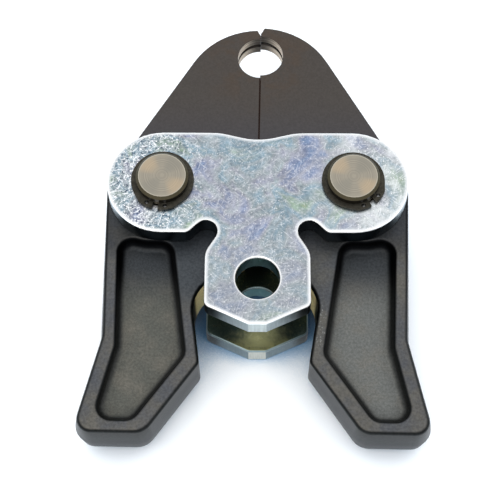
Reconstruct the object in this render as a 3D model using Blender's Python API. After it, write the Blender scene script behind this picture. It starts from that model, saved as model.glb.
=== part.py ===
"""Press fitting tool jaw: two forged jaw arms that turn on pins between two side plates.

The jaw's own coordinates are metres from the axis of the hole that the press tool's pin
goes through: +X to the right, +Y towards the tip and +Z up, from the rear pin ends.
"""

from math import acos, atan2, ceil, cos, pi, radians, sin, tan

import bmesh
import bpy
from mathutils import Vector

MM = 0.001

# Side plates
PLATE_THICKNESS = 7.5 * MM
PLATE_GAP = 18.0 * MM
PLATE_EDGE_ROUND = 0.6 * MM
LOBE_RADIUS = 18.0 * MM
DIP_HALF_WIDTH = 12.4 * MM
DIP_DEPTH = 3.2 * MM
DIP_ROUND = 23.0 * MM
NECK_HALF_WIDTH = 16.75 * MM
NECK_CORNER_Y = -9.1 * MM
NECK_CORNER_ROUND = 2.4 * MM
NECK_ROUND = 7.0 * MM
FOOT_HALF_WIDTH = 2.85 * MM
FOOT_Y = -15.5 * MM
FOOT_ROUND = 0.8 * MM
NOTCH_X = 16.6 * MM
NOTCH_Y = 16.3 * MM
NOTCH_RADIUS = 3.7 * MM
NOTCH_ENTRY_ANGLE = radians(45)
NOTCH_EXIT_ANGLE = radians(212)
SHOULDER_ROUND = 3.0 * MM
TOOL_HOLE_RADIUS = 7.0 * MM

# Pivot pins and their retaining rings
PIN_X = 30.8 * MM
PIN_Y = 33.8 * MM
PIN_RADIUS = 8.5 * MM
PIN_PROUD = 4.2 * MM
PIN_CHAMFER = 0.85 * MM
GROOVE_DEPTH = 0.45 * MM
RING_THICKNESS = 1.0 * MM
RING_WIDTH = 2.0 * MM
RING_GAP_ANGLE = radians(11)
LUG_WIDTH = 2.6 * MM
LUG_ANGLE = radians(26)
LUG_BLEND_ANGLE = radians(20)
LUG_HOLE_RADIUS = 0.7 * MM
LUG_HOLE_INSET = 1.2 * MM
LEFT_RING_TURN = radians(-102)
RIGHT_RING_TURN = radians(-52.5)

# Jaw arms
BLADE_THICKNESS = 8.4 * MM
BLADE_START_Y = 47.0 * MM
BLADE_ROOT_ROUND = 2.0 * MM
TIP_CENTRE_Y = 73.1 * MM
TIP_RADIUS = 26.4 * MM
FLANK_ANGLE = radians(30.5)
FLANK_ROUND = 14.0 * MM
TIP_BREAK_WIDTH = 1.1 * MM
TIP_BREAK_DEPTH = 2.3 * MM
PRESS_INSET = 11.3 * MM
PRESS_Y = TIP_CENTRE_Y + TIP_RADIUS - PRESS_INSET
PRESS_RADIUS = 7.8 * MM
PRESS_GROOVE_DEPTH = 0.7 * MM
PRESS_GROOVE_WIDTH = 1.8 * MM
CONTACT_RELIEF_X = 1.5 * MM
CONTACT_RELIEF_Y = 1.7 * MM
CHAMBER_HALF_WIDTH = 9.5 * MM
CHAMBER_TOP_Y = 43.0 * MM
CONTACT_STEP = 7.0 * MM
CONTACT_END_Y = CHAMBER_TOP_Y + CONTACT_STEP
CHAMBER_BOTTOM_Y = 21.5 * MM
CHAMBER_TOP_ROUND = 3.0 * MM
CHAMBER_BOTTOM_ROUND = 1.5 * MM
APEX_X = 4.0 * MM
APEX_HEIGHT = 3.5 * MM
APEX_ROUND = 1.0 * MM
RAMP_ANGLE = radians(45)
TOE_X = 20.4 * MM
TOE_Y = -2.8 * MM
TOE_ROUND = 11.7 * MM
WAIST_X = 17.2 * MM
WAIST_Y = -25.2 * MM
WAIST_ROUND = 2.5 * MM
HANDLE_END_Y = -48.0 * MM
HEEL_X = 33.4 * MM
HEEL_ROUND = 6.0 * MM
HORN_X = 55.4 * MM
HORN_ROUND = 4.5 * MM
KNEE_X = 47.95 * MM
KNEE_Y = -17.0 * MM
KNEE_ROUND = 6.0 * MM
TOE = Vector((TOE_X, TOE_Y))
WAIST = Vector((WAIST_X, WAIST_Y))
HEEL = Vector((HEEL_X, HANDLE_END_Y))
HORN = Vector((HORN_X, HANDLE_END_Y))
KNEE = Vector((KNEE_X, KNEE_Y))
HUB_SIDE = 18.75 * MM
HUB_FLAT = 4.0 * MM
HUB_ROUND = 10.0 * MM
HANDLE_EDGE_ROUND = 1.3 * MM
FORGED_DRAFT = 1.2 * MM
RAMP_EDGE_END = 2.0 * MM
POCKET_DEPTH = 3.2 * MM
POCKET_SHOULDER_ROUND = 1.2 * MM
POCKET_STEEPEST = radians(78)
POCKET_TOP_Y = 17.0 * MM
POCKET_TOP_RISE = 2.8 * MM
POCKET_BEND_X = 36.0 * MM
POCKET_FLOOR_CORNER = 1.6 * MM
RIM_INNER = 3.1 * MM
RIM_DIAGONAL = 4.3 * MM
RIM_BOTTOM = 2.9 * MM
RIM_OUTER = 3.9 * MM
RIM_SIDE = 3.2 * MM

# Closing spring, a bent strip between the arms
SPRING_THICKNESS = 1.2 * MM
SPRING_WIDTH = 14.0 * MM
SPRING_BEND = 6.6 * MM

# Clearances
SIDE_CLEARANCE = 0.3 * MM
PIVOT_CLEARANCE = 0.1 * MM
PLATE_BORE_CLEARANCE = 0.1 * MM
RING_CLEARANCE = 0.25 * MM
CONTACT_GAP = 0.3 * MM
SPRING_CLEARANCE = 0.3 * MM
SPRING_END_CLEARANCE = 0.75 * MM

# Both arms lean this far clockwise about their pins, as a closed pair can within its play
LEAN = radians(0.9)

# How fine round shapes are
ARC_ERROR = 0.04 * MM
ROUND_SIDES = 40
LUG_HOLE_SIDES = 10
SHOULDER_STEPS = 3
COVE_STEPS = 4
FACE_BREAK_ANGLE = radians(50)
SAME_HEIGHT = 0.1 * MM
SAME_POINT = 0.001 * MM
PAST = 2.0 * MM

# Heights, from the rear pin ends up
REAR_PLATE_Z = PIN_PROUD
GAP_Z = REAR_PLATE_Z + PLATE_THICKNESS
FRONT_PLATE_Z = GAP_Z + PLATE_GAP
FRONT_FACE_Z = FRONT_PLATE_Z + PLATE_THICKNESS
PIN_LENGTH = FRONT_FACE_Z + PIN_PROUD
MIDDLE_Z = PIN_LENGTH / 2
ARM_THICKNESS = PLATE_GAP - 2 * SIDE_CLEARANCE
ARM_Z = (MIDDLE_Z - ARM_THICKNESS / 2, MIDDLE_Z + ARM_THICKNESS / 2)


def clear_scene():
    for thing in list(bpy.data.objects):
        bpy.data.objects.remove(thing, do_unlink=True)


def material(name, colour, roughness, metallic=1.0):
    made = bpy.data.materials.new(name)
    made.use_nodes = True
    shader = made.node_tree.nodes["Principled BSDF"]
    shader.inputs["Base Color"].default_value = (*colour, 1.0)
    shader.inputs["Roughness"].default_value = roughness
    shader.inputs["Metallic"].default_value = metallic
    return made


def arc_steps(radius, angle):
    """How many straight pieces keep an arc within ARC_ERROR of round."""
    step = 2 * acos(max(0.0, 1 - ARC_ERROR / max(radius, ARC_ERROR)))
    return max(1, ceil(abs(angle) / min(step, radians(20))))


def arc(centre, radius, start, end):
    steps = arc_steps(radius, end - start)
    angles = (start + (end - start) * k / steps for k in range(steps + 1))
    return [Vector(centre) + radius * Vector((cos(a), sin(a))) for a in angles]


def without_repeats(points):
    kept = []
    for point in points:
        if not kept or (point - kept[-1]).length > SAME_POINT:
            kept.append(point)
    if (kept[0] - kept[-1]).length <= SAME_POINT:
        kept.pop()
    return kept


def rounded(corners):
    """The closed outline through (x, y, radius) corners, each rounded to its radius."""
    points = []
    for i, (x, y, radius) in enumerate(corners):
        here = Vector((x, y))
        back = (Vector(corners[i - 1][:2]) - here).normalized()
        ahead = (Vector(corners[(i + 1) % len(corners)][:2]) - here).normalized()
        half = back.angle(ahead) / 2
        if radius == 0 or half > radians(89.9):
            points.append(here)
            continue
        centre = here + (back + ahead).normalized() * radius / sin(half)
        spoke = here + back * radius / tan(half) - centre
        turn = (pi - 2 * half) * (1 if back.cross(ahead) < 0 else -1)
        steps = arc_steps(radius, turn)
        for k in range(steps + 1):
            a = turn * k / steps
            swung = (spoke.x * cos(a) - spoke.y * sin(a), spoke.x * sin(a) + spoke.y * cos(a))
            points.append(centre + Vector(swung))
    return without_repeats(points)


def wrap(centre, radius, start, end, count):
    """Corners whose rounding joins into one arc about the centre, from start to end."""
    part = (end - start) / count
    reach = radius / cos(part / 2)
    angles = [start + part * (k + 0.5) for k in range(count)]
    return [(centre[0] + reach * cos(a), centre[1] + reach * sin(a), radius) for a in angles]


def line_through(point, direction, x=None, y=None):
    """Where the line meets the given x or y."""
    along = (x - point[0]) / direction[0] if x is not None else (y - point[1]) / direction[1]
    return Vector((point[0] + along * direction[0], point[1] + along * direction[1]))


def inset(corners, rims):
    """The polygon with each side moved inwards by its own rim. It runs anticlockwise."""
    sides = []
    for i, (corner, rim) in enumerate(zip(corners, rims)):
        along = (corners[(i + 1) % len(corners)] - corner).normalized()
        sides.append((corner + rim * Vector((-along.y, along.x)), along))
    moved = []
    for i, (point, along) in enumerate(sides):
        last, last_along = sides[i - 1]
        reach = (point - last).cross(along) / last_along.cross(along)
        moved.append(last + reach * last_along)
    return moved


def plate_corners():
    """The right half of a side plate, from its foot round to the dip at the top."""
    notch = Vector((NOTCH_X, NOTCH_Y))
    exit_spoke = Vector((cos(NOTCH_EXIT_ANGLE), sin(NOTCH_EXIT_ANGLE)))
    entry_spoke = Vector((cos(NOTCH_ENTRY_ANGLE), sin(NOTCH_ENTRY_ANGLE)))
    lobe_bottom = PIN_Y - LOBE_RADIUS
    lobe_top = PIN_Y + LOBE_RADIUS
    side = PIN_X + LOBE_RADIUS
    neck = line_through(
        notch + NOTCH_RADIUS * exit_spoke, (-exit_spoke.y, exit_spoke.x), x=NECK_HALF_WIDTH
    )
    shoulder = line_through(
        notch + NOTCH_RADIUS * entry_spoke, (-entry_spoke.y, entry_spoke.x), y=lobe_bottom
    )
    return [
        (FOOT_HALF_WIDTH, FOOT_Y, FOOT_ROUND),
        (NECK_HALF_WIDTH, NECK_CORNER_Y, NECK_CORNER_ROUND),
        (neck.x, neck.y, NECK_ROUND),
        *wrap(notch, NOTCH_RADIUS, NOTCH_EXIT_ANGLE, NOTCH_ENTRY_ANGLE, 2),
        (shoulder.x, shoulder.y, SHOULDER_ROUND),
        (side, lobe_bottom, LOBE_RADIUS),
        (side, lobe_top, LOBE_RADIUS),
        (DIP_HALF_WIDTH, lobe_top, DIP_ROUND),
    ]


def plate_outline():
    right = plate_corners()
    dip = (0.0, PIN_Y + LOBE_RADIUS - DIP_DEPTH, DIP_ROUND)
    left = [(-x, y, radius) for x, y, radius in reversed(right)]
    return rounded([*right, dip, *left])


def ramp_line():
    """A point on the roller ramp and its direction, from the toe up towards the apex."""
    return TOE, Vector((-cos(RAMP_ANGLE), sin(RAMP_ANGLE)))


def tip_corners():
    """The blade's outer side, from the hub up its flank and round the tip."""
    centre = Vector((0.0, TIP_CENTRE_Y))
    spoke = Vector((cos(FLANK_ANGLE), sin(FLANK_ANGLE)))
    flank = line_through(centre + TIP_RADIUS * spoke, (-spoke.y, spoke.x), y=PIN_Y + LOBE_RADIUS)
    end = acos((CONTACT_GAP / 2 + TIP_BREAK_WIDTH) / TIP_RADIUS)
    return [
        (flank.x, flank.y, FLANK_ROUND),
        *wrap(centre, TIP_RADIUS, FLANK_ANGLE, end, 2),
        (TIP_RADIUS * cos(end), TIP_CENTRE_Y + TIP_RADIUS * sin(end), 0),
    ]


def arm_outline():
    """The right arm, anticlockwise from its waist."""
    apex = line_through(*ramp_line(), x=APEX_X)
    contact = CONTACT_GAP / 2
    tip_y = TIP_CENTRE_Y + TIP_RADIUS
    hub_side = PIN_X + HUB_SIDE
    return rounded(
        [
            (*WAIST, WAIST_ROUND),
            (*HEEL, HEEL_ROUND),
            (*HORN, HORN_ROUND),
            (*KNEE, KNEE_ROUND),
            (hub_side, PIN_Y, HUB_ROUND),
            (hub_side, PIN_Y + HUB_FLAT, HUB_ROUND),
            *tip_corners(),
            (contact, tip_y - TIP_BREAK_DEPTH, 0),
            (contact, CONTACT_END_Y, 0),
            (contact + CONTACT_RELIEF_X, CONTACT_END_Y - CONTACT_RELIEF_Y, 0),
            (CHAMBER_HALF_WIDTH, CHAMBER_TOP_Y, CHAMBER_TOP_ROUND),
            (CHAMBER_HALF_WIDTH, CHAMBER_BOTTOM_Y, CHAMBER_BOTTOM_ROUND),
            (APEX_X, apex.y + APEX_HEIGHT, APEX_ROUND),
            (*apex, APEX_ROUND),
            (*TOE, TOE_ROUND),
        ]
    )


def outwards_at(outline, i):
    """The direction out of an anticlockwise outline at one of its corners."""
    along = (outline[(i + 1) % len(outline)] - outline[i - 1]).normalized()
    return Vector((along.y, -along.x))


def parting_outline():
    """The right arm's outline half way through it, where the handle's forged walls stand out most."""
    outline = arm_outline()
    moved_out = []
    for i, point in enumerate(outline):
        outwards = outwards_at(outline, i)
        if outwards.x < 0:
            share = (WAIST_Y - point.y) / (WAIST_Y - HANDLE_END_Y)
        else:
            share = (PIN_Y - point.y) / (PIN_Y - KNEE_Y)
        moved_out.append(point + FORGED_DRAFT * min(1.0, max(0.0, share)) * outwards)
    return moved_out


def pocket_wall():
    """Steps (in, down) from the pocket's rim: a round shoulder, then a cove into the floor."""
    shoulder = POCKET_SHOULDER_ROUND
    cove = POCKET_DEPTH / (1 - cos(POCKET_STEEPEST)) - shoulder
    steps = []
    for k in range(SHOULDER_STEPS):
        a = POCKET_STEEPEST * k / SHOULDER_STEPS
        steps.append((shoulder * sin(a), shoulder * (1 - cos(a))))
    reach = (shoulder + cove) * sin(POCKET_STEEPEST)
    for k in range(COVE_STEPS + 1):
        a = POCKET_STEEPEST * (1 - k / COVE_STEPS)
        steps.append((reach - cove * sin(a), POCKET_DEPTH - cove * (1 - cos(a))))
    return steps


def pocket_outline():
    """The pocket's opening, each side set in from the handle's own side by its rim."""
    inner = line_through(WAIST, TOE - WAIST, y=POCKET_TOP_Y)
    hub = Vector((PIN_X + HUB_SIDE, PIN_Y))
    outer = line_through(KNEE, hub - KNEE, y=POCKET_TOP_Y + POCKET_TOP_RISE)
    bend = Vector((POCKET_BEND_X, POCKET_TOP_Y))
    sides = [inner, WAIST, HEEL, HORN, KNEE, outer, bend]
    rims = [RIM_INNER, RIM_DIAGONAL, RIM_BOTTOM, RIM_OUTER, RIM_SIDE, 0.0, 0.0]
    corner_round = POCKET_FLOOR_CORNER + pocket_wall()[-1][0]
    return rounded([(*corner, corner_round) for corner in inset(sides, rims)])


def middle():
    """The middle of the part's length and width, which its origin stands on."""
    ends = []
    for side in (-1, 1):
        for x, y in arm_outline() + parting_outline():
            reach_x = side * (x - PIN_X)
            reach_y = y - PIN_Y
            ends.append(
                (
                    side * PIN_X + reach_x * cos(LEAN) + reach_y * sin(LEAN),
                    PIN_Y - reach_x * sin(LEAN) + reach_y * cos(LEAN),
                )
            )
    across = [x for x, y in ends]
    along = [y for x, y in ends]
    return Vector(((min(across) + max(across)) / 2, (min(along) + max(along)) / 2, 0.0))


def layered_mesh(name, layers):
    """The closed body through (outline, z) layers, which have the same number of corners."""
    made = bmesh.new()
    loops = [[made.verts.new((x, y, z)) for x, y in outline] for outline, z in layers]
    made.faces.new(loops[0])
    made.faces.new(loops[-1])
    for lower, upper in zip(loops, loops[1:]):
        for k in range(len(lower)):
            made.faces.new((lower[k - 1], lower[k], upper[k], upper[k - 1]))
    bmesh.ops.recalc_face_normals(made, faces=made.faces)
    mesh = bpy.data.meshes.new(name)
    made.to_mesh(mesh)
    made.free()
    return mesh


def prism_mesh(name, outline, low, high):
    return layered_mesh(name, [(outline, low), (outline, high)])


def add(name, mesh, finish=None, at=(0.0, 0.0, 0.0)):
    thing = bpy.data.objects.new(name, mesh)
    bpy.context.scene.collection.objects.link(thing)
    thing.location = at
    if finish:
        mesh.materials.append(finish)
        mesh.shade_smooth()
        mesh.set_sharp_from_angle(angle=radians(35))
    return thing


def turned(name, profile, finish=None, at=(0.0, 0.0, 0.0), sides=ROUND_SIDES):
    """A body of revolution about Z, from (radius, z) points down its outer side."""
    mesh = bpy.data.meshes.new(name)
    points = [(radius, 0.0, z) for radius, z in profile]
    mesh.from_pydata(points, [(k, k + 1) for k in range(len(points) - 1)], [])
    thing = add(name, mesh, at=at)
    screw = thing.modifiers.new("turn", "SCREW")
    screw.steps = sides
    screw.render_steps = sides
    screw.use_merge_vertices = True
    screw.merge_threshold = SAME_POINT
    if finish:
        mesh.materials.append(finish)
    return thing


def cutter(thing, tool, parent):
    """Cuts the thing by the tool, which moves with the parent."""
    tool.parent = parent
    tool.hide_render = True
    tool.display_type = "WIRE"
    cut = thing.modifiers.new(tool.name, "BOOLEAN")
    cut.operation = "DIFFERENCE"
    cut.object = tool


def round_rim(thing, width, segments, weighted=False):
    bevel = thing.modifiers.new("edge", "BEVEL")
    bevel.width = width
    bevel.segments = segments
    bevel.use_clamp_overlap = False
    bevel.limit_method = "WEIGHT" if weighted else "ANGLE"
    bevel.angle_limit = FACE_BREAK_ANGLE


def circle(radius, at=(0.0, 0.0), sides=ROUND_SIDES):
    angles = [2 * pi * k / sides for k in range(sides)]
    return [Vector((at[0] + radius * cos(a), at[1] + radius * sin(a))) for a in angles]


def build_plate(name, low, finish, centre):
    high = low + PLATE_THICKNESS
    plate = add(name, prism_mesh(name, plate_outline(), low, high), finish, -centre)
    bore = PIN_RADIUS + PLATE_BORE_CLEARANCE
    holes = [
        ("tool_hole", TOOL_HOLE_RADIUS, (0.0, 0.0)),
        ("left_bore", bore, (-PIN_X, PIN_Y)),
        ("right_bore", bore, (PIN_X, PIN_Y)),
    ]
    for hole, radius, at in holes:
        tool_name = f"cut_{name}_{hole}"
        tool = add(tool_name, prism_mesh(tool_name, circle(radius, at), low - PAST, high + PAST))
        cutter(plate, tool, plate)
    round_rim(plate, PLATE_EDGE_ROUND, 2)
    return plate


def build_pin(side, name, finish, centre):
    """A plain pin with chamfered ends and a ring groove outside each plate."""
    groove = PIN_RADIUS - GROOVE_DEPTH
    face = PIN_RADIUS - PIN_CHAMFER
    near = FRONT_FACE_Z + RING_CLEARANCE / 2
    far = FRONT_FACE_Z + RING_THICKNESS + 1.5 * RING_CLEARANCE
    upper = [
        (0.0, PIN_LENGTH),
        (face, PIN_LENGTH),
        (PIN_RADIUS, PIN_LENGTH - PIN_CHAMFER),
        (PIN_RADIUS, far),
        (groove, far),
        (groove, near),
        (PIN_RADIUS, near),
    ]
    lower = [(radius, PIN_LENGTH - z) for radius, z in reversed(upper)]
    return turned(name, upper + lower, finish, Vector((side * PIN_X, PIN_Y, 0.0)) - centre)


def ring_outline():
    """An open ring whose two lugs face each other across the gap at +X."""
    inner = PIN_RADIUS - GROOVE_DEPTH + RING_CLEARANCE / 2
    half_gap = RING_GAP_ANGLE / 2
    lug_end = half_gap + LUG_ANGLE
    body_end = lug_end + LUG_BLEND_ANGLE
    body = arc((0, 0), inner + RING_WIDTH, body_end, 2 * pi - body_end)
    first = arc((0, 0), inner + LUG_WIDTH, half_gap, lug_end)
    last = arc((0, 0), inner + LUG_WIDTH, 2 * pi - lug_end, 2 * pi - half_gap)
    inside = arc((0, 0), inner, 2 * pi - half_gap, half_gap)
    return without_repeats(first + body + last + inside)


def build_ring(name, side, turn, low, finish, centre):
    at = Vector((side * PIN_X, PIN_Y, 0.0)) - centre
    ring = add(name, prism_mesh(name, ring_outline(), low, low + RING_THICKNESS), finish, at)
    ring.rotation_euler.z = turn
    reach = PIN_RADIUS - GROOVE_DEPTH + RING_CLEARANCE / 2 + LUG_HOLE_INSET
    for k in (-1, 1):
        angle = k * (RING_GAP_ANGLE + LUG_ANGLE) / 2
        spot = (reach * cos(angle), reach * sin(angle))
        tool_name = f"cut_{name}_{'low' if k < 0 else 'high'}"
        hole = circle(LUG_HOLE_RADIUS, spot, LUG_HOLE_SIDES)
        mesh = prism_mesh(tool_name, hole, low - PAST, low + RING_THICKNESS + PAST)
        cutter(ring, add(tool_name, mesh), ring)
    return ring


def mark_forged_edges(mesh, side):
    """Gives bevel weight to the face edges of the handle, ramp and hub, which are forged round."""
    made = bmesh.new()
    made.from_mesh(mesh)
    weights = made.edges.layers.float.new("bevel_weight_edge")
    apex_y = line_through(*ramp_line(), x=APEX_X).y
    for edge in made.edges:
        a, b = (corner.co for corner in edge.verts)
        if abs(a.z - b.z) > SAME_HEIGHT or abs(a.z - MIDDLE_Z) < SAME_HEIGHT:
            continue
        x = side * (a.x + b.x) / 2 + PIN_X
        y = (a.y + b.y) / 2 + PIN_Y
        on_hub = x > PIN_X and y < BLADE_START_Y
        edge[weights] = float(on_hub or y < apex_y - RAMP_EDGE_END)
    made.to_mesh(mesh)
    made.free()


def moved(mesh, place):
    """Sends each corner to where place puts it, and turns the faces outwards again."""
    made = bmesh.new()
    made.from_mesh(mesh)
    for corner in made.verts:
        corner.co = place(*corner.co)
    made.normal_update()
    bmesh.ops.recalc_face_normals(made, faces=made.faces)
    made.to_mesh(mesh)
    made.free()


def about_pin(outline, side):
    """Jaw coordinates of the right half, taken from the pin's axis and mirrored for the left."""
    return [(side * (x - PIN_X), y - PIN_Y) for x, y in outline]


def blade_relief(name, high):
    """The space over one face of the blade, with the round at its root, along X."""
    face = MIDDLE_Z + BLADE_THICKNESS / 2
    past = ARM_Z[1] + PAST
    far = TIP_CENTRE_Y + TIP_RADIUS + PAST
    profile = rounded(
        [
            (BLADE_START_Y, past, 0),
            (BLADE_START_Y, face, BLADE_ROOT_ROUND),
            (far, face, 0),
            (far, past, 0),
        ]
    )
    reach = PIN_X + LOBE_RADIUS + PAST
    mesh = prism_mesh(name, profile, -reach, reach)
    moved(mesh, lambda y, z, x: (x, y - PIN_Y, z if high else 2 * MIDDLE_Z - z))
    return add(name, mesh)


def pocket_cut(name, side, high):
    """The pocket's space, down from its opening along its walls."""
    opening = pocket_outline()
    layers = [(about_pin(opening, side), ARM_Z[1] + PAST)]
    for inwards, down in pocket_wall():
        loop = [point - inwards * outwards_at(opening, i) for i, point in enumerate(opening)]
        layers.append((about_pin(loop, side), ARM_Z[1] - down))
    mesh = layered_mesh(name, layers)
    if not high:
        moved(mesh, lambda x, y, z: (x, y, 2 * MIDDLE_Z - z))
    return add(name, mesh)


def press_profile_cut(name, side):
    """The turned space for the fitting, with a groove round its middle."""
    past = BLADE_THICKNESS / 2 + PAST
    flat = PRESS_GROOVE_WIDTH / 2
    groove = PRESS_RADIUS + PRESS_GROOVE_DEPTH
    profile = [
        (0.0, past),
        (PRESS_RADIUS, past),
        (PRESS_RADIUS, flat),
        (groove, flat - PRESS_GROOVE_DEPTH / 2),
        (groove, PRESS_GROOVE_DEPTH / 2 - flat),
        (PRESS_RADIUS, -flat),
        (PRESS_RADIUS, -past),
        (0.0, -past),
    ]
    return turned(name, profile, at=(-side * PIN_X, PRESS_Y - PIN_Y, MIDDLE_Z))


def build_arm(name, side, finish, centre):
    face = about_pin(arm_outline(), side)
    parting = about_pin(parting_outline(), side)
    low, high = ARM_Z
    mesh = layered_mesh(name, [(face, low), (parting, MIDDLE_Z), (face, high)])
    mark_forged_edges(mesh, side)
    arm = add(name, mesh, finish, Vector((side * PIN_X, PIN_Y, 0.0)) - centre)
    arm.rotation_euler.z = -LEAN
    round_rim(arm, HANDLE_EDGE_ROUND, 3, weighted=True)
    pivot = circle(PIN_RADIUS + PIVOT_CLEARANCE)
    pivot_name = f"cut_{name}_pivot"
    tools = [
        add(pivot_name, prism_mesh(pivot_name, pivot, low - PAST, high + PAST)),
        blade_relief(f"cut_{name}_blade_front", high=True),
        blade_relief(f"cut_{name}_blade_rear", high=False),
        pocket_cut(f"cut_{name}_pocket_front", side, high=True),
        pocket_cut(f"cut_{name}_pocket_rear", side, high=False),
        press_profile_cut(f"cut_{name}_press", side),
    ]
    for tool in tools:
        cutter(arm, tool, arm)
    return arm


def spring_outline():
    """A hairpin strip: a bend at the top and two legs that spread to the chamber's walls."""
    foot_x = CHAMBER_HALF_WIDTH - SPRING_CLEARANCE
    foot_y = CHAMBER_BOTTOM_Y + SPRING_END_CLEARANCE
    bend_y = CHAMBER_TOP_Y - SPRING_BEND - SPRING_END_CLEARANCE
    spread = atan2(foot_x - SPRING_BEND, bend_y - foot_y)
    return [
        Vector((foot_x, foot_y)),
        *arc((0.0, bend_y), SPRING_BEND, spread, pi - spread),
        Vector((-foot_x, foot_y)),
        Vector((SPRING_THICKNESS - foot_x, foot_y)),
        *arc((0.0, bend_y), SPRING_BEND - SPRING_THICKNESS, pi - spread, spread),
        Vector((foot_x - SPRING_THICKNESS, foot_y)),
    ]


def build_spring(finish, centre):
    """The spring leans with the arms, so it is turned about the point between the pins."""
    between = Vector((0.0, PIN_Y, 0.0))
    outline = [(x, y - PIN_Y) for x, y in spring_outline()]
    low = MIDDLE_Z - SPRING_WIDTH / 2
    mesh = prism_mesh("closing_spring", outline, low, low + SPRING_WIDTH)
    spring = add("closing_spring", mesh, finish, between - centre)
    spring.rotation_euler.z = -LEAN
    return spring


def main():
    clear_scene()
    zinc = material("zinc_plate", (0.62, 0.66, 0.69), 0.38)
    forged = material("black_oxide_steel", (0.085, 0.080, 0.077), 0.5)
    turned_steel = material("turned_steel", (0.47, 0.43, 0.37), 0.35)
    phosphate = material("phosphated_spring_steel", (0.05, 0.046, 0.042), 0.6)
    centre = middle()
    build_plate("side_plate_rear", REAR_PLATE_Z, zinc, centre)
    build_plate("side_plate_front", FRONT_PLATE_Z, zinc, centre)
    front_ring_z = FRONT_FACE_Z + RING_CLEARANCE
    rear_ring_z = PIN_LENGTH - front_ring_z - RING_THICKNESS
    for word, side, turn in (("left", -1, LEFT_RING_TURN), ("right", 1, RIGHT_RING_TURN)):
        build_arm(f"jaw_arm_{word}", side, forged, centre)
        build_pin(side, f"pivot_pin_{word}", turned_steel, centre)
        build_ring(f"retaining_ring_front_{word}", side, turn, front_ring_z, phosphate, centre)
        build_ring(f"retaining_ring_rear_{word}", side, -turn, rear_ring_z, phosphate, centre)
    build_spring(phosphate, centre)


main()
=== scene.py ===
"""Looks of the press fitting tool jaw: camera, light, floor and the finish of every piece."""

from math import cos, radians, sin

import bmesh
import bpy
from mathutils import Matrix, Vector


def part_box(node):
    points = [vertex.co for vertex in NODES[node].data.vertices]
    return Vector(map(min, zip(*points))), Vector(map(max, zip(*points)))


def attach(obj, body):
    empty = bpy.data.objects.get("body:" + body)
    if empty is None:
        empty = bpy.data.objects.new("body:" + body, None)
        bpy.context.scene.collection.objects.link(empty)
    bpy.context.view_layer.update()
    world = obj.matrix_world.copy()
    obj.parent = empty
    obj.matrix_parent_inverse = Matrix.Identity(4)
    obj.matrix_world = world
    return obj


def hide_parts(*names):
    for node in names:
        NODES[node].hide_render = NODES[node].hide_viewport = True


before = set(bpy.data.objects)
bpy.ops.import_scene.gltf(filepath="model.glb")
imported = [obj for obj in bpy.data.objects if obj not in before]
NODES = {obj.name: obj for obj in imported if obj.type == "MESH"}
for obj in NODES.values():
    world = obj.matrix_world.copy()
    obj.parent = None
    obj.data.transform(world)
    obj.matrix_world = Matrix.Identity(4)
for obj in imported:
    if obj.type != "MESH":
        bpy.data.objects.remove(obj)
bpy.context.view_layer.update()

MM = 0.001
REAR_LOW, REAR_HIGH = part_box("side_plate_rear")
FRONT_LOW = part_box("side_plate_front")[0]
PIN_BOXES = {side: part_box(f"pivot_pin_{side}") for side in ("left", "right")}
PINS = {side: (low + high) / 2 for side, (low, high) in PIN_BOXES.items()}
PIN_RADIUS = (PIN_BOXES["left"][1].x - PIN_BOXES["left"][0].x) / 2
PIN_TOP = PIN_BOXES["left"][1].z
MIDDLE_Z = PIN_TOP / 2

PINS_MIDDLE = (PINS["left"] + PINS["right"]) / 2
SPLIT_LEAN = sin(radians(0.9))

# The tool pin's hole lies straight below the pivot pins. Places further down are taken from it.
HOLE_BELOW_PINS = 33.8
BORE_FROM_HOLE = (0.855, 88.19, 0.0)
TOOL_HOLE = PINS_MIDDLE - Vector((0.0, HOLE_BELOW_PINS, 0.0)) * MM
BORE = TOOL_HOLE + Vector(BORE_FROM_HOLE) * MM

# The camera was solved on the hole, the pins and the plates. It looks down steeply from the handles' side.
PLATE_TOP = 37.2 * MM
TARGET_FROM_HOLE = (-2.42, 9.52, 0.0)
CAMERA_TARGET = Vector((TOOL_HOLE.x, TOOL_HOLE.y, PLATE_TOP)) + Vector(TARGET_FROM_HOLE) * MM
CAMERA_DISTANCE = 447.2 * MM
CAMERA_ELEVATION = radians(66.06)
CAMERA_AZIMUTH = radians(0.28)
SENSOR = 36.0
PHOTO_WIDTH = 500
FOCAL_PIXELS = 1413.7

# The way to the brightest part of the tent, how bright it is, and its greys from level to overhead.
TENT_TOP = (0.0, 0.2, 0.98)
TENT_STRENGTH = 2.5
TENT_GREYS = [(0.0, "#1C3347"), (0.5, "#45617C"), (0.7, "#BFCDD8"), (0.82, "#FFFFFF")]

# Painted shadow on the floor: its colour by how open it lies, and the reach from the foot over which the blue
# fades to white.
PAINTED_SHADOW_BLUES = [(0.1, "#56799B"), (0.3, "#7099BC"), (0.39, "#93B6D3"), (0.45, "#BCD0E0"), (0.52, "#FFFFFF")]
BLUE_REACH = (18 * MM, 36 * MM)

# Facets closer to level than the first angle become one face. The others are the least angles of an edge
# that is shaded sharp and of one that gets a bevel.
FLAT_ANGLE = radians(0.6)
SHARP_ANGLE = radians(34)
BEVEL_ANGLE = radians(40)

# The plates' rubbed strip, where the blades start in millimetres, and how far each tip moves inwards.
RUBBED_WIDTH = 1.1 * MM
BLADE_START = 20.0
TIP_SHIFT = 0.14 * MM

# The film on the zinc by the noise under it, from its thin blue to its thick straw.
FILM_HUES = [
    (0.26, "#7493B8"),
    (0.36, "#8E9AB8"),
    (0.43, "#A9ACBA"),
    (0.50, "#A7B1B6"),
    (0.56, "#93ABBA"),
    (0.63, "#A5B3B4"),
    (0.69, "#9FB6A3"),
    (0.77, "#BBBE95"),
]

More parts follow.
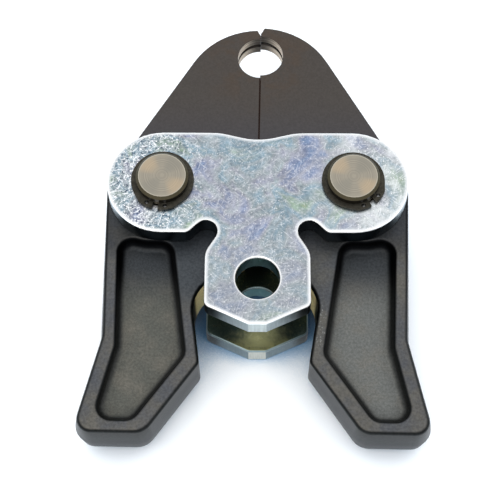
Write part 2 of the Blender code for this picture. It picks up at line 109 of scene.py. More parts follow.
# Settings that many nodes share. In a smooth range i1 and i2 are where it starts and ends, and i3 and i4 are
# what it gives there, or 0 and 1. In a blend i0 is the second colour's share.
SMOOTH = {"interpolation_type": "SMOOTHSTEP"}
BLEND = {"data_type": "RGBA"}
TINT = {"data_type": "RGBA", "blend_type": "MULTIPLY"}
TIMES = {"operation": "MULTIPLY"}
MINUS = {"operation": "SUBTRACT"}
ABSOLUTE = {"operation": "ABSOLUTE"}
LARGER = {"operation": "MAXIMUM"}
DISTANCE = {"operation": "DISTANCE"}


def linear(code):
    """An sRGB hex colour as the linear values that a socket takes."""
    parts = [int(code[k : k + 2], 16) / 255 for k in (1, 3, 5)]
    return (*[p / 12.92 if p <= 0.04045 else ((p + 0.055) / 1.055) ** 2.4 for p in parts], 1.0)


def in_plan(place):
    """A place in millimetres, seen from above."""
    return (place.x * 1000, place.y * 1000, 0.0)


def node(tree, kind, settings=(), **inputs):
    """Adds one node. Settings are its properties, and inputs are values, hex colours or other nodes."""
    made = tree.nodes.new(f"ShaderNode{kind}")
    for name, value in dict(settings).items():
        if name == "stops":
            ramp = made.color_ramp.elements
            ramp[0].position, ramp[1].position = value[0][0], value[-1][0]
            ramp[0].color, ramp[1].color = linear(value[0][1]), linear(value[-1][1])
            for place, colour in value[1:-1]:
                ramp.new(place).color = linear(colour)
        else:
            setattr(made, name, value)
    for name, value in inputs.items():
        socket = made.inputs[int(name[1:]) if name[1:].isdigit() else name.replace("_", " ")]
        if isinstance(value, bpy.types.Node):
            value = next(output for output in value.outputs if output.enabled)
        if isinstance(value, bpy.types.NodeSocket):
            tree.links.new(value, socket)
        else:
            socket.default_value = linear(value) if isinstance(value, str) else value
    return made


def set_camera():
    """Looks at a spot beside the hole, from where the photo was taken."""
    across, along = sin(CAMERA_AZIMUTH), -cos(CAMERA_AZIMUTH)
    level, height = cos(CAMERA_ELEVATION), sin(CAMERA_ELEVATION)
    back = Vector((across * level, along * level, height))
    data = bpy.data.cameras.new("photo_camera")
    data.sensor_width = SENSOR
    data.lens = FOCAL_PIXELS * SENSOR / PHOTO_WIDTH
    data.clip_start = 0.01
    data.clip_end = 10.0
    camera = bpy.data.objects.new("photo_camera", data)
    bpy.context.scene.collection.objects.link(camera)
    camera.location = CAMERA_TARGET + back * CAMERA_DISTANCE
    camera.rotation_euler = back.to_track_quat("Z", "Y").to_euler()
    bpy.context.scene.camera = camera


def set_world():
    """A studio tent lit from above and behind. It is white overhead and falls off to a slate blue below."""
    world = bpy.data.worlds.new("studio_tent")
    bpy.context.scene.world = world
    world.use_nodes = True
    tree = world.node_tree
    tree.nodes.clear()
    place = node(tree, "TexCoord")
    toward = node(
        tree, "VectorMath", {"operation": "DOT_PRODUCT"}, i0=place.outputs["Generated"], i1=TENT_TOP
    )
    tent = node(tree, "ValToRGB", {"stops": TENT_GREYS}, Fac=toward.outputs["Value"])
    lit = node(tree, "Background", Color=tent, Strength=TENT_STRENGTH)
    seen = node(tree, "Background", Color="#FFFFFF", Strength=1.0)
    ray = node(tree, "LightPath")
    mirrored = node(
        tree, "Math", LARGER, i0=ray.outputs["Is Glossy Ray"], i1=ray.outputs["Is Transmission Ray"]
    )
    # Metal shows the white surround, but doesn't pass it on to the floor.
    first = node(tree, "Math", {"operation": "LESS_THAN"}, i0=ray.outputs["Diffuse Depth"], i1=0.5)
    shown = node(tree, "Math", TIMES, i0=mirrored, i1=first)
    direct = node(tree, "Math", LARGER, i0=ray.outputs["Is Camera Ray"], i1=shown)
    both = node(tree, "MixShader", Fac=direct, i1=lit, i2=seen)
    node(tree, "OutputWorld", Surface=both)


def add_softbox(name, place, aim, size, watts, colour):
    """A square lamp whose side is size, in metres, turned from its place towards its aim."""
    data = bpy.data.lights.new(name, "AREA")
    data.shape = "SQUARE"
    data.size = size
    data.energy = watts
    data.color = linear(colour)[:3]
    lamp = bpy.data.objects.new(name, data)
    bpy.context.scene.collection.objects.link(lamp)
    lamp.location = place
    lamp.rotation_euler = (Vector(place) - Vector(aim)).to_track_quat("Z", "Y").to_euler()


def add_floor():
    """The jaw lies on the lower edges of its pins and on the rear plate's foot, so the floor leans a little
    under it. Beyond the jaw the floor runs level."""
    chamfer_edge = 0.9 * PIN_RADIUS
    pin_edge_y = PINS["left"].y - chamfer_edge
    slope = REAR_LOW.z / (pin_edge_y - REAR_LOW.y)
    level_y = 0.12
    made = bmesh.new()
    bmesh.ops.create_grid(made, x_segments=1, y_segments=3, size=2.0)
    for corner in made.verts:
        if abs(corner.co.y) < 1.0:
            corner.co.y = level_y if corner.co.y > 0 else -level_y
        near_y = max(-level_y, min(level_y, corner.co.y))
        corner.co.z = slope * (pin_edge_y - near_y)
    mesh = bpy.data.meshes.new("floor")
    made.to_mesh(mesh)
    made.free()
    floor = bpy.data.objects.new("floor", mesh)
    bpy.context.scene.collection.objects.link(floor)
    paper = bpy.data.materials.new("white_paper")
    paper.use_nodes = True
    tree = paper.node_tree
    tree.nodes.clear()
    ray = node(tree, "LightPath")
    bounced = node(tree, "BsdfDiffuse", Color="#F4F6F8")
    # Painted shadow: close under the bright steel of the foot the paper falls off into a steel blue.
    openness = node(tree, "AmbientOcclusion", {"samples": 8}, Distance=0.024)
    contact = node(tree, "ValToRGB", {"stops": PAINTED_SHADOW_BLUES}, Fac=openness.outputs["AO"])
    place = node(tree, "TexCoord")
    under_foot = (TOOL_HOLE.x, TOOL_HOLE.y - 8 * MM, 0.0)
    foot_reach = node(tree, "VectorMath", DISTANCE, i0=place.outputs["Object"], i1=under_foot)
    away = node(tree, "MapRange", SMOOTH, i0=foot_reach, i1=BLUE_REACH[0], i2=BLUE_REACH[1])
    contact = node(tree, "Mix", BLEND, i0=away, i6=contact, i7="#FFFFFF")
    seen = node(tree, "BsdfDiffuse", Color=contact)
    both = node(tree, "MixShader", Fac=ray.outputs["Is Camera Ray"], i1=bounced, i2=seen)
    node(tree, "OutputMaterial", Surface=both)
    mesh.materials.append(paper)


def soften(name, width):
    """A merged copy of a piece, shaded round, with its sharp edges broken by a small bevel."""
    made = bmesh.new()
    made.from_mesh(NODES[name].data)
    bmesh.ops.remove_doubles(made, verts=made.verts, dist=1e-6)
    bmesh.ops.dissolve_limit(made, angle_limit=FLAT_ANGLE, verts=made.verts, edges=made.edges)
    made.normal_update()
    if name.startswith("jaw_arm"):
        close_split(made, -1 if name.endswith("left") else 1)
    if name.startswith("side_plate"):
        mark_rubbed_edge(made)
    mesh = bpy.data.meshes.new(f"{name}_softened")
    made.to_mesh(mesh)
    made.free()
    for finish in NODES[name].data.materials:
        mesh.materials.append(finish)
    mesh.shade_smooth()
    mesh.set_sharp_from_angle(angle=SHARP_ANGLE)
    copy = bpy.data.objects.new(f"{name}_softened", mesh)
    bpy.context.scene.collection.objects.link(copy)
    if width:
        # The bevel is real geometry: it catches the light along ground edges.
        edge = copy.modifiers.new("broken_edge", "BEVEL")
        edge.width = width
        edge.segments = 2
        edge.limit_method = "ANGLE"
        edge.angle_limit = BEVEL_ANGLE
    even = copy.modifiers.new("even_shading", "WEIGHTED_NORMAL")
    even.keep_sharp = True
    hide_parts(name)
    return copy


def mark_rubbed_edge(made):
    """Rings both faces of a plate with a strip, over which the attribute rubbed falls from 1 to 0."""
    rubbed = made.verts.layers.float.new("rubbed")
    flats = [face for face in made.faces if abs(face.normal.z) > 0.9999]
    strip = bmesh.ops.inset_region(
        made, faces=flats, thickness=RUBBED_WIDTH, depth=0.0, use_even_offset=True, use_boundary=True
    )
    inner = {corner for face in flats for corner in face.verts}
    for face in strip["faces"]:
        for corner in face.verts:
            corner[rubbed] = float(corner not in inner)


def close_split(made, side):
    """Brings the tips' contact faces to 0.02 mm, as pressed tips look. The part keeps 0.3 mm there."""
    for corner in made.verts:
        split_x = PINS_MIDDLE.x + SPLIT_LEAN * (corner.co.y - PINS_MIDDLE.y)
        on_contact_face = abs(corner.co.x - split_x) < 0.2 * MM
        if corner.co.y > BLADE_START * MM and on_contact_face:
            corner.co.x -= side * TIP_SHIFT


def begin(name):
    """A new finish, a surface's place in millimetres, the same place seen in plan, and the way it faces."""
    finish = bpy.data.materials.new(name)
    finish.use_nodes = True
    tree = finish.node_tree
    tree.nodes.clear()
    place = node(tree, "TexCoord")
    spot = node(tree, "VectorMath", {"operation": "SCALE"}, Vector=place.outputs["Object"], Scale=1000.0)
    plan = node(tree, "VectorMath", TIMES, i0=spot, i1=(1.0, 1.0, 0.0))
    facing = node(tree, "SeparateXYZ", Vector=place.outputs["Normal"])
    return finish, tree, spot, plan, facing


def zinc_plated_steel():
    """Bright zinc plating with a clear blue passivation on tumbled plate steel. The film is a fraction of a
    light wave thick, so its hue wanders softly between blue, lilac, teal and straw. Tumbling leaves short
    scratches in all directions, strongest on the lobes, and a polished strip along the edges. Its fine
    sparkle is painted as glints, and the rounded edges carry a painted white highlight."""
    finish, tree, spot, plan, facing = begin("zinc_plated_steel")
    x, y, z = node(tree, "SeparateXYZ", Vector=spot).outputs
    up = node(tree, "Math", ABSOLUTE, i0=facing.outputs["Z"])
    on_front_plate = node(tree, "MapRange", SMOOTH, i0=z, i1=20.0, i2=21.0)
    # Film hues wander over patches about 13 mm across.
    film = node(tree, "TexNoise", Vector=spot, Scale=0.075, Detail=3.0, Roughness=0.5, Distortion=0.7)
    hue = node(tree, "ValToRGB", {"stops": FILM_HUES}, Fac=film)
    # The lobes' outer halves rub against other tools in the case, so they sparkle, the left one most.
    off_middle = node(tree, "Math", MINUS, i0=x, i1=PINS_MIDDLE.x * 1000)
    aside = node(tree, "Math", ABSOLUTE, i0=off_middle)
    lively = node(tree, "MapRange", SMOOTH, i0=aside, i1=14.0, i2=38.0, i3=0.32, i4=1.1)
    calm = node(tree, "MapRange", SMOOTH, i0=x, i1=10.0, i2=28.0, i3=1.0, i4=0.5)
    lively = node(tree, "Math", TIMES, i0=lively, i1=calm)
    # The film is thicker and thinner in clouds about 5 mm across.
    clouds = node(tree, "TexNoise", Vector=spot, Scale=0.2, Detail=6.0, Roughness=0.7)
    cloud_shade = node(tree, "MapRange", SMOOTH, i0=clouds, i1=0.32, i2=0.68, i3=0.72, i4=1.1)
    colour = node(tree, "Mix", TINT, i0=1.0, i6=hue, i7=cloud_shade)
    # On the foot the film is thinner and greyer.
    foot_top = TOOL_HOLE.y * 1000 + 4.0
    thin = node(tree, "MapRange", SMOOTH, i0=y, i1=foot_top + 18.0, i2=foot_top, i3=0.0, i4=0.5)
    colour = node(tree, "Mix", BLEND, i0=thin, i6=colour, i7="#A1A7AB")
    # The right lobe is rubbed brighter than the rest, in patches about 9 mm across.
    patches = node(tree, "TexNoise", Vector=spot, Scale=0.11, Detail=2.0, Roughness=0.5)
    patchy = node(tree, "MapRange", SMOOTH, i0=patches, i1=0.42, i2=0.58, i3=0.2, i4=1.0)
    rubbed = node(tree, "MapRange", SMOOTH, i0=x, i1=16.0, i2=42.0, i3=0.0, i4=0.72)
    rubbed = node(tree, "Math", TIMES, i0=rubbed, i1=patchy)
    colour = node(tree, "Mix", BLEND, i0=rubbed, i6=colour, i7="#EDF1F1")
    # Painted sparkle, as glints of light and darker pits: real grains are about 0.3 mm, drawn at 0.8 mm so
    # that they show.
    grain = node(tree, "TexNoise", Vector=spot, Scale=1.25, Detail=4.0, Roughness=0.8)
    glints = node(tree, "MapRange", SMOOTH, i0=grain, i1=0.54, i2=0.61)
    glints = node(tree, "Math", TIMES, i0=glints, i1=lively)
    pits = node(tree, "MapRange", SMOOTH, i0=grain, i1=0.47, i2=0.38)
    pits = node(tree, "Math", TIMES, i0=pits, i1=lively)
    pits = node(tree, "Math", TIMES, i0=pits, i1=calm)
    colour = node(tree, "Mix", BLEND, i0=pits, i6=colour, i7="#34425A")
    colour = node(tree, "Mix", BLEND, i0=glints, i6=colour, i7="#EEF3F8")
    # Painted glints as bright dots: real ones 0.2 mm wide, drawn 0.7 mm apart so that they show. One in three
    # is bright.
    dots = node(tree, "TexVoronoi", Vector=spot, Scale=1.35, Randomness=1.0)
    picked = node(tree, "SeparateColor", Color=dots.outputs["Color"])
    one_in_three = node(tree, "MapRange", SMOOTH, i0=picked, i1=0.66, i2=0.7)
    glint_dots = node(tree, "MapRange", SMOOTH, i0=dots.outputs["Distance"], i1=0.42, i2=0.15)
    for share in (one_in_three, lively, 1.4):
        glint_dots = node(tree, "Math", TIMES, i0=glint_dots, i1=share)
    colour = node(tree, "Mix", BLEND, i0=glint_dots, i6=colour, i7="#FFFFFF")
    # Short scratches, 2 to 4 mm long, in four lays.
    marks = None
    for turn, seed in ((38.0, 0.0), (-42.0, 31.0), (74.0, 67.0), (8.0, 103.0)):
        laid = node(
            tree,
            "Mapping",
            {"vector_type": "TEXTURE"},
            Vector=spot,
            Location=(seed, seed, 0.0),
            Rotation=(0.0, 0.0, radians(turn)),
            Scale=(3.6, 0.42, 1.0),
        )
        streak = node(tree, "TexNoise", Vector=laid, Scale=1.0, Detail=0.0, Roughness=0.5)
        cut = node(tree, "MapRange", SMOOTH, i0=streak, i1=0.71, i2=0.77)
        marks = cut if marks is None else node(tree, "Math", LARGER, i0=marks, i1=cut)
    scratched = node(tree, "Math", TIMES, i0=marks, i1=lively)
    colour = node(tree, "Mix", BLEND, i0=scratched, i6=colour, i7="#F2F5F9")
    # Handling has polished a strip along the outline, and less of one round the tool's hole.
    rubbed_edge = node(tree, "Attribute", {"attribute_name": "rubbed"})
    worn_edge = node(tree, "MapRange", SMOOTH, i0=rubbed_edge.outputs["Fac"], i1=0.15, i2=1.0, i3=0.0, i4=0.7)
    hole_reach = node(tree, "VectorMath", DISTANCE, i0=plan, i1=in_plan(TOOL_HOLE))
    off_hole = node(tree, "MapRange", SMOOTH, i0=hole_reach, i1=8.6, i2=10.0, i3=0.25, i4=1.0)
    worn_edge = node(tree, "Math", TIMES, i0=worn_edge, i1=off_hole)
    colour = node(tree, "Mix", BLEND, i0=worn_edge, i6=colour, i7="#F6F8FA")
    # Painted shade between the plates: a dark olive, lighter and straw-coloured in a patch behind the foot.
    patch_middle = TOOL_HOLE - Vector((-1.5, 15.0, 0.0)) * MM
    patch_reach = node(tree, "VectorMath", DISTANCE, i0=plan, i1=in_plan(patch_middle))
    ragged = node(tree, "Math", {"operation": "MULTIPLY_ADD"}, i0=clouds, i1=14.0, i2=patch_reach)
    straw = node(tree, "MapRange", SMOOTH, i0=ragged, i1=20.0, i2=10.0)
    shaded_inside_colour = node(tree, "Mix", BLEND, i0=straw, i6="#36433F", i7="#9A9A70")
    dull_glints = node(tree, "Math", TIMES, i0=glints, i1=0.35)
    shaded_inside_colour = node(tree, "Mix", BLEND, i0=dull_glints, i6=shaded_inside_colour, i7="#A9AF98")
    rear_top, front_bottom = REAR_HIGH.z * 1000, FRONT_LOW.z * 1000
    above_rear = node(tree, "MapRange", SMOOTH, i0=z, i1=rear_top - 0.7, i2=rear_top - 0.3)
    below_front = node(tree, "MapRange", SMOOTH, i0=z, i1=front_bottom + 0.7, i2=front_bottom + 0.3)
    on_inside = node(tree, "Math", TIMES, i0=above_rear, i1=below_front)
    colour = node(tree, "Mix", BLEND, i0=on_inside, i6=colour, i7=shaded_inside_colour)
    # Painted highlight on the rims, where the surface turns over the edge. It is duller between the plates,
    # where shade is painted.
    highlight_over_edge = node(tree, "MapRange", SMOOTH, i0=up, i1=0.998, i2=0.95)
    above_wall = node(tree, "MapRange", SMOOTH, i0=up, i1=0.05, i2=0.3)
    rim = node(tree, "Math", TIMES, i0=highlight_over_edge, i1=above_wall)
    rim_colour = node(tree, "Mix", BLEND, i0=on_inside, i6="#FCFDFD", i7="#7F9196")
    colour = node(tree, "Mix", BLEND, i0=rim, i6=colour, i7=rim_colour)
    # Sheared side walls, with upright lines: real ones are 0.2 mm apart, drawn at 0.6 mm so that they show.
    upright = node(tree, "Mapping", Vector=spot, Scale=(1.6, 1.6, 0.1))
    sheared = node(tree, "TexNoise", Vector=upright, Scale=1.0, Detail=3.0, Roughness=0.6)
    sheared_shade = node(tree, "MapRange", SMOOTH, i0=sheared, i1=0.3, i2=0.7, i3=0.86, i4=1.1)
    # Painted shade: they are dark and teal in the notches.
    foot_y = TOOL_HOLE.y * 1000 - 8.5
    shaded_notch = node(tree, "MapRange", SMOOTH, i0=y, i1=foot_y + 33.0, i2=foot_y + 28.0)
    wall = node(tree, "Mix", BLEND, i0=shaded_notch, i6="#B4BEC3", i7="#202F37")
    # Painted reflection round the foot: the walls are bright in front, greyer on the slants and dark at the
    # sides.
    foot_wall_reflection = node(tree, "Mix", BLEND, i0=on_front_plate, i6="#C9CBC3", i7="#BEC8C8")
    slanted = node(tree, "Mix", BLEND, i0=on_front_plate, i6="#6C8088", i7="#A3B0B4")
    slant = node(tree, "Math", ABSOLUTE, i0=facing.outputs["X"])
    on_slant = node(tree, "MapRange", SMOOTH, i0=slant, i1=0.12, i2=0.35)
    foot_wall_reflection = node(tree, "Mix", BLEND, i0=on_slant, i6=foot_wall_reflection, i7=slanted)
    at_side = node(tree, "MapRange", SMOOTH, i0=aside, i1=10.5, i2=14.5)
    foot_wall_reflection = node(tree, "Mix", BLEND, i0=at_side, i6=foot_wall_reflection, i7="#2E393B")
    at_foot = node(tree, "MapRange", SMOOTH, i0=y, i1=foot_y + 1.5, i2=foot_y - 1.5)
    wall = node(tree, "Mix", BLEND, i0=at_foot, i6=wall, i7=foot_wall_reflection)
    wall = node(tree, "Mix", TINT, i0=1.0, i6=wall, i7=sheared_shade)
    # Painted reflection on the hole's walls: teal, darker in the front plate.
    hole_wall_reflection = node(tree, "Mix", BLEND, i0=on_front_plate, i6="#78A6AD", i7="#46676D")
    in_hole = node(tree, "MapRange", SMOOTH, i0=hole_reach, i1=8.5, i2=7.8)
    wall = node(tree, "Mix", BLEND, i0=in_hole, i6=wall, i7=hole_wall_reflection)
    on_wall = node(tree, "MapRange", SMOOTH, i0=up, i1=0.25, i2=0.05)
    colour = node(tree, "Mix", BLEND, i0=on_wall, i6=colour, i7=wall)
    dull = node(tree, "MapRange", SMOOTH, i0=grain, i1=0.3, i2=0.7, i3=0.42, i4=0.26)
    dents = node(tree, "Bump", Strength=0.22, Distance=0.00006, Height=grain)
    shader = node(tree, "BsdfPrincipled", Base_Color=colour, Metallic=1.0, Roughness=dull, Normal=dents)
    node(tree, "OutputMaterial", Surface=shader)
    return finish


def black_oxide_steel():
    """Drop forged steel with a black oxide. The shot blasted skin is satin, the coves and round edges carry
    painted shade, and the blades are ground flat before blackening."""
    finish, tree, spot, plan, facing = begin("black_oxide_steel")
    x, y, z = node(tree, "SeparateXYZ", Vector=spot).outputs
    up = node(tree, "Math", ABSOLUTE, i0=facing.outputs["Z"])
    height = node(tree, "Math", MINUS, i0=z, i1=MIDDLE_Z * 1000)
    depth = node(tree, "Math", ABSOLUTE, i0=height)
    off_middle = node(tree, "Math", MINUS, i0=x, i1=PINS_MIDDLE.x * 1000)
    aside = node(tree, "Math", ABSOLUTE, i0=off_middle)
    hole_y = TOOL_HOLE.y * 1000
    # Shot blasted skin: pits of about 0.4 mm, drawn at 0.8 mm so that they show.
    skin = node(tree, "TexNoise", Vector=spot, Scale=1.3, Detail=4.0, Roughness=0.7)
    # Stains run over patches about 9 mm across.
    stains = node(tree, "TexNoise", Vector=spot, Scale=0.11, Detail=4.0, Roughness=0.65)
    # Rims and faces, darker and bluer near the plates' feet, most on the left arm.
    browner = node(tree, "MapRange", SMOOTH, i0=stains, i1=0.3, i2=0.7)
    rim_colour = node(tree, "Mix", BLEND, i0=browner, i6="#54565A", i7="#62605B")
    darker_by_feet = node(tree, "MapRange", SMOOTH, i0=aside, i1=33.0, i2=24.0)
    off_ends = node(tree, "MapRange", SMOOTH, i0=y, i1=hole_y - 14.0, i2=hole_y + 2.0)
    left_most = node(tree, "MapRange", SMOOTH, i0=off_middle, i1=5.0, i2=-5.0, i3=0.3, i4=1.0)
    for share in (off_ends, left_most):
        darker_by_feet = node(tree, "Math", TIMES, i0=darker_by_feet, i1=share)
    rim_colour = node(tree, "Mix", BLEND, i0=darker_by_feet, i6=rim_colour, i7="#474B4F")
    # Painted shadow of the lobes, darkening the rims below them.
    lobe_shadow = node(tree, "MapRange", SMOOTH, i0=y, i1=hole_y + 6.0, i2=hole_y + 16.0, i3=0.0, i4=0.6)
    rim_colour = node(tree, "Mix", BLEND, i0=lobe_shadow, i6=rim_colour, i7="#2E3136")
    # Knocks have left bare specks along the right handle's inner rim.
    knocks = node(tree, "TexVoronoi", Vector=spot, Scale=1.6, Randomness=1.0)
    knock_pick = node(tree, "SeparateColor", Color=knocks.outputs["Color"])
    knocked = node(tree, "MapRange", SMOOTH, i0=knocks.outputs["Distance"], i1=0.4, i2=0.2, i3=0.0, i4=0.7)
    for value, start, end in (
        (knock_pick, 0.42, 0.46),
        (off_middle, 18.0, 18.6),
        (off_middle, 22.5, 20.5),
        (y, hole_y - 21.0, hole_y - 17.0),
        (y, hole_y - 4.0, hole_y - 9.0),
    ):
        share = node(tree, "MapRange", SMOOTH, i0=value, i1=start, i2=end)
        knocked = node(tree, "Math", TIMES, i0=knocked, i1=share)
    rim_colour = node(tree, "Mix", BLEND, i0=knocked, i6=rim_colour, i7="#9DA09E")
    # Pocket floors, stained brown in places, with a painted shadow that makes them darker and bluer towards
    # the plates.
    on_right = node(tree, "MapRange", SMOOTH, i0=off_middle, i1=-5.0, i2=5.0)
    floor_colour = node(tree, "Mix", BLEND, i0=on_right, i6="#5B5C57", i7="#6B6D6B")
    browned = node(tree, "MapRange", SMOOTH, i0=stains, i1=0.4, i2=0.75, i3=0.0, i4=0.5)
    floor_colour = node(tree, "Mix", BLEND, i0=browned, i6=floor_colour, i7="#78736A")
    plate_shadow = node(tree, "MapRange", SMOOTH, i0=y, i1=hole_y - 8.0, i2=hole_y + 9.0)
    floor_colour = node(tree, "Mix", BLEND, i0=plate_shadow, i6=floor_colour, i7="#3E4144")
    # Painted shade: a soft dark band, 3 mm wide, where a floor runs up into its walls.
    cove = node(tree, "AmbientOcclusion", {"samples": 8, "only_local": True}, Distance=0.006)
    cove_shade = node(tree, "MapRange", SMOOTH, i0=cove.outputs["AO"], i1=0.96, i2=0.66, i3=0.0, i4=0.75)
    floor_colour = node(tree, "Mix", BLEND, i0=cove_shade, i6=floor_colour, i7="#2A2A29")
    in_pocket = node(tree, "MapRange", SMOOTH, i0=depth, i1=7.4, i2=6.0)
    colour = node(tree, "Mix", BLEND, i0=in_pocket, i6=rim_colour, i7=floor_colour)
    # Ground blades: bluish next to the plates and warm near the tip.
    along = node(tree, "MapRange", SMOOTH, i0=y, i1=22.0, i2=50.0)
    blade_colour = node(tree, "Mix", BLEND, i0=along, i6="#4B4A4E", i7="#4F4B48")
    bore_reach = node(tree, "VectorMath", DISTANCE, i0=plan, i1=in_plan(BORE))
    near_bore = node(tree, "MapRange", SMOOTH, i0=bore_reach, i1=26.0, i2=9.0)
    warm_stains = node(tree, "MapRange", SMOOTH, i0=stains, i1=0.45, i2=0.62, i3=0.15, i4=0.8)
    warmth = node(tree, "Math", TIMES, i0=near_bore, i1=warm_stains)
    blade_colour = node(tree, "Mix", BLEND, i0=warmth, i6=blade_colour, i7="#544A42")
    # A brown line of old oil follows the split, which leans with the arms.
    split_foot = (PINS_MIDDLE.x - SPLIT_LEAN * PINS_MIDDLE.y) * 1000
    unleaned = node(tree, "Math", {"operation": "MULTIPLY_ADD"}, i0=y, i1=-SPLIT_LEAN, i2=x)
    split_off = node(tree, "Math", MINUS, i0=unleaned, i1=split_foot)
    split_reach = node(tree, "Math", ABSOLUTE, i0=split_off)
    at_split = node(tree, "MapRange", SMOOTH, i0=split_reach, i1=0.4, i2=0.15)
    blade_colour = node(tree, "Mix", BLEND, i0=at_split, i6=blade_colour, i7="#2A1D18")
    past_plates = node(tree, "MapRange", SMOOTH, i0=y, i1=BLADE_START, i2=BLADE_START + 0.4)
    thin_part = node(tree, "MapRange", SMOOTH, i0=depth, i1=5.2, i2=4.4)
    on_blade = node(tree, "Math", TIMES, i0=past_plates, i1=thin_part)
    colour = node(tree, "Mix", BLEND, i0=on_blade, i6=colour, i7=blade_colour)
    # Painted shade on the side walls: darker than the faces, and darkest low down.
    wall = node(tree, "MapRange", SMOOTH, i0=up, i1=0.3, i2=0.17)
    low_wall_shade = node(tree, "MapRange", SMOOTH, i0=height, i1=7.0, i2=-7.0)
    shaded_forged_wall = node(tree, "Mix", BLEND, i0=low_wall_shade, i6="#333332", i7="#15181A")
    wall_colour = node(tree, "Mix", BLEND, i0=on_blade, i6=shaded_forged_wall, i7="#35352B")
    colour = node(tree, "Mix", BLEND, i0=wall, i6=colour, i7=wall_colour)
    # Painted shade round the edges and down the pockets' walls, darkest by the plates.
    level_part = node(tree, "Math", TIMES, i0=up, i1=up)
    rest = node(tree, "Math", {"operation": "SUBTRACT", "use_clamp": True}, i0=1.0, i1=level_part)
    tilt = node(tree, "Math", {"operation": "SQRT"}, i0=rest)
    tilted = node(tree, "MapRange", SMOOTH, i0=tilt, i1=0.04, i2=0.68)
    above_wall = node(tree, "MapRange", SMOOTH, i0=up, i1=0.15, i2=0.2)
    edge_shade = node(tree, "Math", TIMES, i0=tilted, i1=above_wall)
    inwards = node(tree, "MapRange", SMOOTH, i0=depth, i1=8.6, i2=7.2)
    edge_shade_colour = node(tree, "Mix", BLEND, i0=inwards, i6="#1B1D1E", i7="#3A3B3A")
    edge_shade_colour = node(tree, "Mix", BLEND, i0=plate_shadow, i6=edge_shade_colour, i7="#0B0C0E")
    colour = node(tree, "Mix", BLEND, i0=edge_shade, i6=colour, i7=edge_shade_colour)
    # The rollers of the press tool keep the ramps bare, in a straw colour.
    on_ramp = wall
    for value, start, end in (
        (aside, 21.5, 20.5),
        (y, hole_y - 5.5, hole_y - 2.5),
        (y, 6.0, 4.0),
    ):
        share = node(tree, "MapRange", SMOOTH, i0=value, i1=start, i2=end)
        on_ramp = node(tree, "Math", TIMES, i0=on_ramp, i1=share)
    colour = node(tree, "Mix", BLEND, i0=on_ramp, i6=colour, i7="#FFE6A6")
    # The ground blades are smoother than the forged skin.
    speckle = node(tree, "MapRange", SMOOTH, i0=skin, i1=0.3, i2=0.7, i3=0.8, i4=1.2)
    smooth_speckle = node(tree, "MapRange", SMOOTH, i0=skin, i1=0.3, i2=0.7, i3=0.92, i4=1.08)
    mottle = node(tree, "Mix", {"data_type": "FLOAT"}, i0=on_blade, i2=speckle, i3=smooth_speckle)
    colour = node(tree, "Mix", TINT, i0=1.0, i6=colour, i7=mottle)
    # The press bore is turned bright after blackening, apart from the groove half way down it.
    in_bore = node(tree, "MapRange", SMOOTH, i0=bore_reach, i1=8.75, i2=8.6)
    bore_wall = node(tree, "MapRange", SMOOTH, i0=up, i1=0.5, i2=0.2)
    for share in (bore_wall, on_blade):
        in_bore = node(tree, "Math", TIMES, i0=in_bore, i1=share)
    bands = node(tree, "MapRange", SMOOTH, i0=depth, i1=0.5, i2=1.1, i3=0.35, i4=1.0)
    lathe = node(tree, "TexNoise", {"noise_dimensions": "1D"}, W=height, Scale=1.6, Detail=3.0, Roughness=0.7)
    turned = node(tree, "MapRange", SMOOTH, i0=lathe, i1=0.35, i2=0.62)
    bright_band = node(tree, "Mix", BLEND, i0=turned, i6="#7A6858", i7="#DCCAB2")
    bore_colour = node(tree, "Mix", BLEND, i0=bands, i6="#33291F", i7=bright_band)
    # Painted shade: it is darker next to the split.
    split_shade = node(tree, "MapRange", SMOOTH, i0=split_reach, i1=5.6, i2=1.0, i3=0.0, i4=0.75)
    bore_colour = node(tree, "Mix", BLEND, i0=split_shade, i6=bore_colour, i7="#3A332D")
    colour = node(tree, "Mix", BLEND, i0=in_bore, i6=colour, i7=bore_colour)
    # The straw film on the ramps is matt.
    sheen = node(tree, "MapRange", SMOOTH, i0=on_ramp, i1=0.0, i2=1.0, i3=1.0, i4=0.0)
    pits = node(tree, "Bump", Strength=0.3, Distance=0.0001, Height=skin)
    shader = node(tree, "BsdfPrincipled", Base_Color=colour, Metallic=sheen, Roughness=0.4, Normal=pits)
    node(tree, "OutputMaterial", Surface=shader)
    return finish


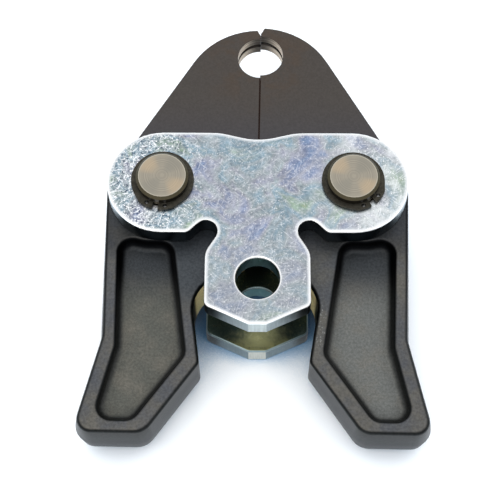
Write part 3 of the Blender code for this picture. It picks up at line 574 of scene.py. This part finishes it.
def turned_pin_steel(side):
    """A ground pin whose ends are faced on a lathe: fine rings round the middle with two straw patches facing
    each other, a bright thin rim, and a browned chamfer and side."""
    finish, tree, spot, plan, facing = begin(f"turned_pin_steel_{side}")
    centre = PINS[side]
    radius = node(tree, "VectorMath", DISTANCE, i0=plan, i1=in_plan(centre))
    # Facing rings: real ones are 0.1 mm apart, drawn at about 0.35 mm so that they show.
    rings = node(tree, "TexNoise", {"noise_dimensions": "1D"}, W=radius, Scale=2.8, Detail=3.0, Roughness=0.6)
    ringed = node(tree, "MapRange", SMOOTH, i0=rings, i1=0.25, i2=0.75)
    colour = node(tree, "Mix", BLEND, i0=ringed, i6="#918B80", i7="#A8A192")
    # The rings glint in a bow tie, so its wings are drawn as patches that face each other across the middle.
    moved = node(tree, "Mapping", Vector=spot, Location=(-centre.x * 1000, -centre.y * 1000, 0.0))
    turned = node(tree, "VectorRotate", {"rotation_type": "Z_AXIS"}, Vector=moved, Angle=radians(40))
    parts = node(tree, "SeparateXYZ", Vector=turned)
    swing = node(tree, "Math", {"operation": "ARCTAN2"}, i0=parts.outputs["Y"], i1=parts.outputs["X"])
    doubled = node(tree, "Math", TIMES, i0=swing, i1=2.0)
    wings = node(tree, "Math", {"operation": "COSINE"}, i0=doubled)
    straw_wings = node(tree, "MapRange", SMOOTH, i0=wings, i1=0.2, i2=1.0, i3=0.0, i4=0.55)
    straw_reach = node(tree, "MapRange", SMOOTH, i0=radius, i1=1.0, i2=5.5)
    straw = node(tree, "Math", TIMES, i0=straw_wings, i1=straw_reach)
    colour = node(tree, "Mix", BLEND, i0=straw, i6=colour, i7="#C2AC8E")
    grey_wings = node(tree, "MapRange", SMOOTH, i0=wings, i1=-0.2, i2=-1.0, i3=0.0, i4=0.5)
    grey_reach = node(tree, "MapRange", SMOOTH, i0=radius, i1=0.5, i2=3.0)
    grey = node(tree, "Math", TIMES, i0=grey_wings, i1=grey_reach)
    colour = node(tree, "Mix", BLEND, i0=grey, i6=colour, i7="#8A887F")
    # The bright rim, and then the browned chamfer and side.
    at_rim = node(tree, "MapRange", SMOOTH, i0=radius, i1=7.25, i2=7.5)
    colour = node(tree, "Mix", BLEND, i0=at_rim, i6=colour, i7="#B9B3A4")
    on_chamfer = node(tree, "MapRange", SMOOTH, i0=facing.outputs["Z"], i1=0.97, i2=0.85)
    colour = node(tree, "Mix", BLEND, i0=on_chamfer, i6=colour, i7="#4C4738")
    up = node(tree, "Math", ABSOLUTE, i0=facing.outputs["Z"])
    on_side = node(tree, "MapRange", SMOOTH, i0=up, i1=0.4, i2=0.2)
    colour = node(tree, "Mix", BLEND, i0=on_side, i6=colour, i7="#39342C")
    cuts = node(tree, "Bump", Strength=0.2, Distance=0.00003, Height=rings)
    shader = node(tree, "BsdfPrincipled", Base_Color=colour, Metallic=1.0, Roughness=0.36, Normal=cuts)
    node(tree, "OutputMaterial", Surface=shader)
    return finish


def phosphated_spring_steel():
    """Hardened spring steel with an oiled zinc phosphate coat: dark brown grey, satin, slightly mottled."""
    finish, tree, spot, _, facing = begin("phosphated_spring_steel")
    # Real crystals are under 0.05 mm. Their mottling is drawn about 1 mm coarse so that it shows.
    coat = node(tree, "TexNoise", Vector=spot, Scale=0.9, Detail=4.0, Roughness=0.7)
    mottle = node(tree, "MapRange", SMOOTH, i0=coat, i1=0.3, i2=0.7)
    colour = node(tree, "Mix", BLEND, i0=mottle, i6="#35342E", i7="#4A4740")
    # Painted shade: the coat is darker off the top faces.
    off_top_shade = node(tree, "MapRange", SMOOTH, i0=facing.outputs["Z"], i1=0.9, i2=0.6)
    edge = node(tree, "Math", TIMES, i0=off_top_shade, i1=0.6)
    colour = node(tree, "Mix", BLEND, i0=edge, i6=colour, i7="#22201C")
    crystals = node(tree, "Bump", Strength=0.2, Distance=0.00003, Height=coat)
    shader = node(tree, "BsdfPrincipled", Base_Color=colour, Metallic=1.0, Roughness=0.45, Normal=crystals)
    node(tree, "OutputMaterial", Surface=shader)
    return finish


def dress():
    """Gives every node of the part its finish."""
    zinc = zinc_plated_steel()
    oxide = black_oxide_steel()
    phosphate = phosphated_spring_steel()
    pins = {side: turned_pin_steel(side) for side in ("left", "right")}
    for name, piece in NODES.items():
        if name.startswith("side_plate"):
            finish = zinc
        elif name.startswith("jaw_arm"):
            finish = oxide
        elif name.startswith("pivot_pin"):
            finish = pins["left" if name.endswith("left") else "right"]
        else:
            finish = phosphate
        for slot in piece.material_slots:
            slot.material = finish


def soften_pieces():
    """Every node but the pins gets a softened copy. The arms' edges are broken by 0.2 mm and those of the
    rings and the spring by 0.1 mm, while the plates keep the edges of their solids."""
    for name in list(NODES):
        if name.startswith("jaw_arm"):
            body = "left_arm" if name.endswith("left") else "right_arm"
            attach(soften(name, 0.2 * MM), body)
        elif not name.startswith("pivot_pin"):
            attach(soften(name, 0.0 if name.startswith("side_plate") else 0.1 * MM), "side_plates")


set_camera()
set_world()
add_softbox(
    "overhead_softbox", place=(-0.25, -0.45, 0.8), aim=(0, 0, 0), size=0.6, watts=2.0, colour="#FFF8EE"
)
add_floor()
dress()
soften_pieces()

bpy.context.scene.view_settings.view_transform = "Standard"
